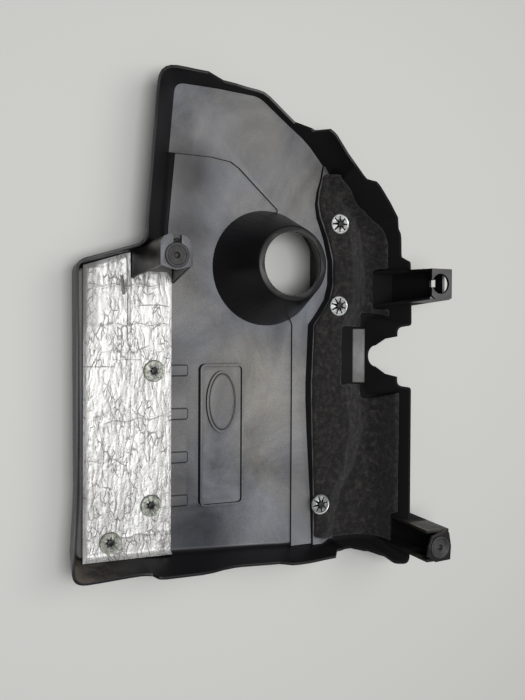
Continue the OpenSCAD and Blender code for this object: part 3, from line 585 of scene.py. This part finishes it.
# Each point moves along its own normal, taken anew because its neighbours have moved. The
# mesh's own v.normal would be worked out again for the whole pad at every point.
bm = bmesh.new()
bm.from_mesh(felt.data)
for v in bm.verts:
    for face in v.link_faces:
        face.normal_update()
    v.normal_update()
    v.co += v.normal * sum(noise.noise(v.co * scale) * height for scale, height in felt_lumps)
bm.to_mesh(felt.data)
bm.free()
felt.data.shade_smooth()
felt_finish, nodes, links = new_finish("needled_felt")
skin = nodes["Principled BSDF"]
where = add(nodes, "ShaderNodeTexCoord")
hairs = mottle(in_Scale=1300.0, in_Detail=4.0, in_Roughness=0.75, in_Distortion=1.5)
tufts = mottle(in_Scale=170.0, in_Detail=6.0, in_Roughness=0.75)
tuft_hue = ramp(nodes, [(0.3, (0.006, 0.0057, 0.006)), (0.5, (0.0145, 0.0135, 0.0135)),
                        (0.74, (0.05, 0.043, 0.038))])
links.new(tufts.outputs["Fac"], tuft_hue.inputs["Fac"])
hair_hue = ramp(nodes, [(0.35, 0.35), (0.5, 0.95), (0.72, 3.2)])
links.new(hairs.outputs["Fac"], hair_hue.inputs["Fac"])
fibres = add(nodes, "ShaderNodeMix", data_type="RGBA", blend_type="MULTIPLY")
fibres.inputs["Factor"].default_value = 1.0
links.new(tuft_hue.outputs["Color"], fibres.inputs["A"])
links.new(hair_hue.outputs["Color"], fibres.inputs["B"])
links.new(fibres.outputs["Result"], skin.inputs["Base Color"])
skin.inputs["Roughness"].default_value = 0.95
skin.inputs["Specular IOR Level"].default_value = 0.15
skin.inputs["Sheen Weight"].default_value = 0.12
bump = add(nodes, "ShaderNodeBump", in_Strength=0.8, in_Distance=0.0006)
links.new(hairs.outputs["Fac"], bump.inputs["Height"])
links.new(bump.outputs["Normal"], skin.inputs["Normal"])
felt.data.materials.append(felt_finish)
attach(felt, "root")
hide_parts("felt_pad")


# The push nuts: dished discs of zinc-plated spring steel with radial slots, pressed down
# on the moulded studs until their teeth bite. Those on the foil are dull with dirt and
# those on the felt are still bright.
def nut_tree(name):
    """Sets one nut on every point it is given, turned a little from one to the next."""
    tree = bpy.data.node_groups.new(name, "GeometryNodeTree")
    tree.interface.new_socket("Geometry", in_out="INPUT", socket_type="NodeSocketGeometry")
    tree.interface.new_socket("Nut", in_out="INPUT", socket_type="NodeSocketObject")
    turn = tree.interface.new_socket("Turn", in_out="INPUT", socket_type="NodeSocketFloat")
    turn.default_value = 0.35
    tree.interface.new_socket("Finish", in_out="INPUT", socket_type="NodeSocketMaterial")
    tree.interface.new_socket("Geometry", in_out="OUTPUT", socket_type="NodeSocketGeometry")
    t_in, t_out = tree.nodes.new("NodeGroupInput"), tree.nodes.new("NodeGroupOutput")
    info = tree.nodes.new("GeometryNodeObjectInfo")
    place = tree.nodes.new("GeometryNodeInstanceOnPoints")
    number = tree.nodes.new("GeometryNodeInputIndex")
    angle = tree.nodes.new("ShaderNodeMath")
    angle.operation = "MULTIPLY"
    spin = tree.nodes.new("ShaderNodeCombineXYZ")
    real = tree.nodes.new("GeometryNodeRealizeInstances")
    paint = tree.nodes.new("GeometryNodeSetMaterial")
    wire = tree.links.new
    wire(t_in.outputs["Geometry"], place.inputs["Points"])
    wire(t_in.outputs["Nut"], info.inputs["Object"])
    wire(info.outputs["Geometry"], place.inputs["Instance"])
    wire(number.outputs[0], angle.inputs[0])
    wire(t_in.outputs["Turn"], angle.inputs[1])
    wire(angle.outputs[0], spin.inputs["Z"])
    wire(spin.outputs[0], place.inputs["Rotation"])
    wire(place.outputs["Instances"], real.inputs["Geometry"])
    wire(real.outputs["Geometry"], paint.inputs["Geometry"])
    wire(t_in.outputs["Finish"], paint.inputs["Material"])
    wire(paint.outputs["Geometry"], t_out.inputs["Geometry"])
    return tree


nut_profile = [(0.0029, 0.0013), (0.0036, 0.0010), (0.0046, 0.00062), (0.0054, 0.00036), (0.0062, 0.00032),
               (0.0075, 0.00024), (0.0088, 0.00012), (0.0098, 0.00004), (0.0104, 0.00018), (0.0109, 0.0005)]
slot_halves = (0.0013, 0.0012, 0.001, 0.0008, 0.0008, 0.0007, 0, 0, 0)
nut_turns, nut_slots = 128, 8
per_slot, whole_turn = nut_turns / nut_slots, 2 * math.pi


def ring(bm, r, z, steps):
    """A circle of points, one of those that a turned form is joined up from."""
    angles = [whole_turn * k / steps for k in range(steps)]
    return [bm.verts.new((r * math.cos(angle), r * math.sin(angle), z)) for angle in angles]


bm = bmesh.new()
rings = [ring(bm, r, z, nut_turns) for r, z in nut_profile]
for i in range(len(rings) - 1):
    for k in range(nut_turns):
        near = (k + 0.5) % per_slot
        from_slot = min(near, per_slot - near) * whole_turn / nut_turns * (nut_profile[i][0] + 0.0005)
        if from_slot < slot_halves[i]:
            continue
        n = (k + 1) % nut_turns
        bm.faces.new((rings[i][k], rings[i + 1][k], rings[i + 1][n], rings[i][n]))
bmesh.ops.delete(bm, geom=[v for v in bm.verts if not v.link_faces], context="VERTS")
nut_mesh = bpy.data.meshes.new("push_nut")
bm.to_mesh(nut_mesh)
bm.free()
nut = link_piece("one_push_nut", nut_mesh)
sheet_metal = nut.modifiers.new("sheet_metal", "SOLIDIFY")
sheet_metal.thickness, sheet_metal.offset = 0.0006, 1.0
eased = nut.modifiers.new("eased_edges", "BEVEL")
eased.width, eased.segments, eased.limit_method = 0.00012, 2, "ANGLE"
nut.data = bpy.data.meshes.new_from_object(nut.evaluated_get(bpy.context.evaluated_depsgraph_get()))
nut.modifiers.clear()
nut.data.shade_smooth()
nut.data.set_sharp_from_angle(angle=math.radians(40))


def plated(name, hue, dirt, rough_low, rough_high):
    finish, nodes, links = new_finish(name)
    skin = nodes["Principled BSDF"]
    where = add(nodes, "ShaderNodeTexCoord")
    stain = add(nodes, "ShaderNodeTexNoise", in_Scale=260.0, in_Detail=6.0, in_Roughness=0.65)
    links.new(where.outputs["Object"], stain.inputs["Vector"])
    stained = ramp(nodes, [(0.36, dirt), (0.6, hue)])
    links.new(stain.outputs["Fac"], stained.inputs["Fac"])
    links.new(stained.outputs["Color"], skin.inputs["Base Color"])
    skin.inputs["Metallic"].default_value = 0.8
    rough = add(nodes, "ShaderNodeMapRange", in_To_Min=rough_high, in_To_Max=rough_low)
    links.new(stain.outputs["Fac"], rough.inputs["Value"])
    links.new(rough.outputs["Result"], skin.inputs["Roughness"])
    bump = add(nodes, "ShaderNodeBump", in_Strength=0.15, in_Distance=0.0002)
    links.new(stain.outputs["Fac"], bump.inputs["Height"])
    links.new(bump.outputs["Normal"], skin.inputs["Normal"])
    return finish


def seat_nuts(name, node, points, finish, turn):
    mesh = bpy.data.meshes.new(name)
    mesh.from_pydata(points, [], [])
    seats = link_piece(name, mesh)
    nuts = seats.modifiers.new("nuts", "NODES")
    nuts.node_group = nut_tree(name)
    for item in nuts.node_group.interface.items_tree:
        if item.in_out == "INPUT" and item.name in ("Nut", "Turn", "Finish"):
            nuts[item.identifier] = {"Nut": nut, "Turn": turn, "Finish": finish}[item.name]
    seats.data = bpy.data.meshes.new_from_object(seats.evaluated_get(bpy.context.evaluated_depsgraph_get()))
    seats.modifiers.clear()
    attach(seats, "root")
    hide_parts(node)


shield_nut_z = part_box("shield_push_nuts")[0].z
felt_stud_places = [(0.1045, 0.115), (0.1015, 0.0265), (0.0835, -0.187)]
dull_zinc = plated("dull_zinc", (0.33, 0.35, 0.3), (0.11, 0.112, 0.092), 0.4, 0.6)
bright_zinc = plated("bright_zinc", (0.4, 0.42, 0.42), (0.2, 0.2, 0.19), 0.3, 0.48)
seat_nuts("shield_nuts", "shield_push_nuts",
          [(x, y, shield_nut_z) for x, y in shield_studs], dull_zinc, 0.35)
felt_nut_z = {}
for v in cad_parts["felt_push_nuts"].data.vertices:
    for p in felt_stud_places:
        if math.hypot(v.co.x - p[0], v.co.y - p[1]) < 0.02:
            felt_nut_z[p] = min(felt_nut_z.get(p, 1.0), v.co.z)
seat_nuts("felt_nuts", "felt_push_nuts",
          [(*p, felt_nut_z[p]) for p in felt_stud_places], bright_zinc, 0.5)
bpy.data.objects.remove(nut)


# The grommets: soft rubber buttons snapped into the slotted seats of the post tops, each
# with a ball socket that clicks on to a stud of the engine. The middle right post has lost
# its own, so its seat stays open.
grommet_profile = [(0.0, -0.0030), (0.0017, -0.0030), (0.0024, -0.0022), (0.0030, -0.0006), (0.0031, 0.0008),
                   (0.0036, 0.0010), (0.0041, 0.0008), (0.0045, 0.0003), (0.0055, 0.0004), (0.0060, 0.0012),
                   (0.0066, 0.0013), (0.0071, 0.0007), (0.0080, 0.0006), (0.0087, 0.0014), (0.0093, 0.0020),
                   (0.0104, 0.0020), (0.0112, 0.0016), (0.0115, 0.0010), (0.0115, 0.0), (0.0104, -0.0001),
                   (0.0104, -0.0032), (0.0105, -0.0052), (0.0074, -0.0090), (0.0, -0.0090)]


def turned(profile, steps):
    bm = bmesh.new()
    rings = []
    for r, z in profile:
        if r == 0:
            rings.append([bm.verts.new((0, 0, z))] * steps)
        else:
            rings.append(ring(bm, r, z, steps))
    for a, b in zip(rings, rings[1:]):
        for k in range(steps):
            corner = []
            for v in (a[k], a[(k + 1) % steps], b[(k + 1) % steps], b[k]):
                if v not in corner:
                    corner.append(v)
            bm.faces.new(corner)
    bmesh.ops.recalc_face_normals(bm, faces=bm.faces)
    return bm


rubber, nodes, links = new_finish("soft_rubber")
skin = nodes["Principled BSDF"]
where = add(nodes, "ShaderNodeTexCoord")
bloom = mottle(in_Scale=160.0, in_Detail=6.0, in_Roughness=0.7)
rubber_hue = ramp(nodes, [(0.35, (0.014, 0.014, 0.015)), (0.7, (0.05, 0.048, 0.046))])
links.new(bloom.outputs["Fac"], rubber_hue.inputs["Fac"])
links.new(rubber_hue.outputs["Color"], skin.inputs["Base Color"])
skin.inputs["Roughness"].default_value = 0.62
bump = add(nodes, "ShaderNodeBump", in_Strength=0.2, in_Distance=0.0003)
links.new(bloom.outputs["Fac"], bump.inputs["Height"])
links.new(bump.outputs["Normal"], skin.inputs["Normal"])
grommet_seats = {"grommet_left": (-0.1045, 0.066, 0.089), "grommet_lower_right": (0.179, -0.224, 0.101)}
for name, seat in grommet_seats.items():
    bm = turned(grommet_profile, 96)
    bmesh.ops.translate(bm, verts=bm.verts, vec=seat)
    mesh = bpy.data.meshes.new(name)
    bm.to_mesh(mesh)
    bm.free()
    mesh.shade_smooth()
    mesh.set_sharp_from_angle(angle=math.radians(60))
    mesh.materials.append(rubber)
    button = link_piece(name + "_button", mesh)
    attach(button, "root")
    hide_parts(name)
